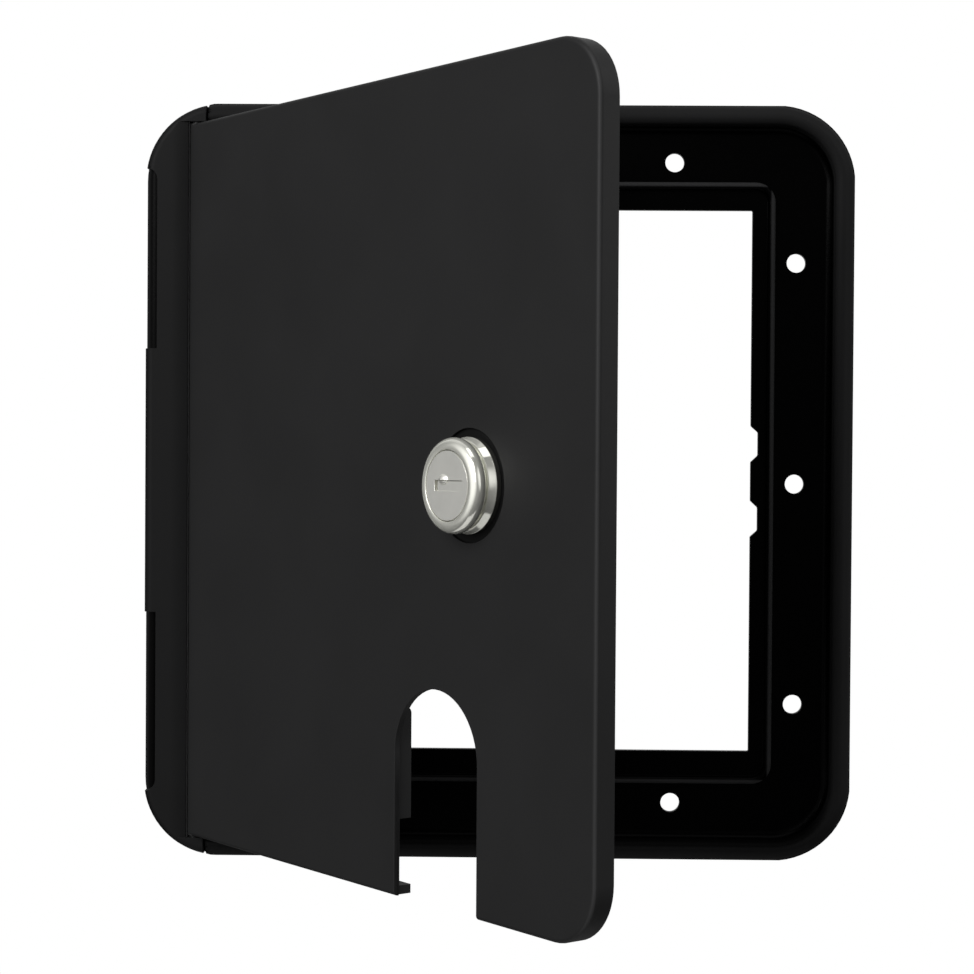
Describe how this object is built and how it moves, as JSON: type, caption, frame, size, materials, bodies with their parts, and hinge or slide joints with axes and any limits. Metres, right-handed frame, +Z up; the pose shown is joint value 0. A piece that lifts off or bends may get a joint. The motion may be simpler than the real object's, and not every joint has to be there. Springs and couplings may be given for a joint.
{
  "type": "power cord hatch",
  "caption": "Wall hatch for a vehicle's power cord: round-cornered rimmed frame, side-hinged door with an arched cord notch, and a round cam lock.",
  "frame": {"origin": "on the flat back face of the frame's flange, midway between the two lower screw holes", "axes": "+Z up, +X to the right as seen from outside, +Y out of the flange's back face, into the wall; the hatch's outside faces -Y"},
  "size_m": [0.1784, 0.1332, 0.19],
  "materials": {
    "frame_plastic": "satin black",
    "door_plastic": "fine matt black",
    "bright_metal": "polished",
    "satin_metal": "satin",
    "zinc_metal": "zinc plated"
  },
  "bodies": {
    "wall_frame": {"frame": "frame_plastic", "hinge_strip": "door_plastic"},
    "door": {"door_panel": "door_plastic", "lock_bezel": "bright_metal", "lock_body": "zinc_metal", "lock_nut": "zinc_metal"},
    "lock": {"lock_plug": "satin_metal", "keyway_shutter": "satin_metal", "lock_cam": "zinc_metal", "cam_screw": "zinc_metal"}
  },
  "joints": [
    {"name": "door_hinge", "type": "hinge", "parent": "wall_frame", "child": "door", "pos_m": [-0.076, -0.0069, 0.081], "axis": [0, 0, -1], "range_deg": [-52.1, 52.9]},
    {"name": "lock_turn", "type": "hinge", "parent": "door", "child": "lock", "pos_m": [-0.00487, -0.10088, 0.0816], "axis": [-0.7891, -0.6143, 0], "range_deg": [0, 90]}
  ]
}
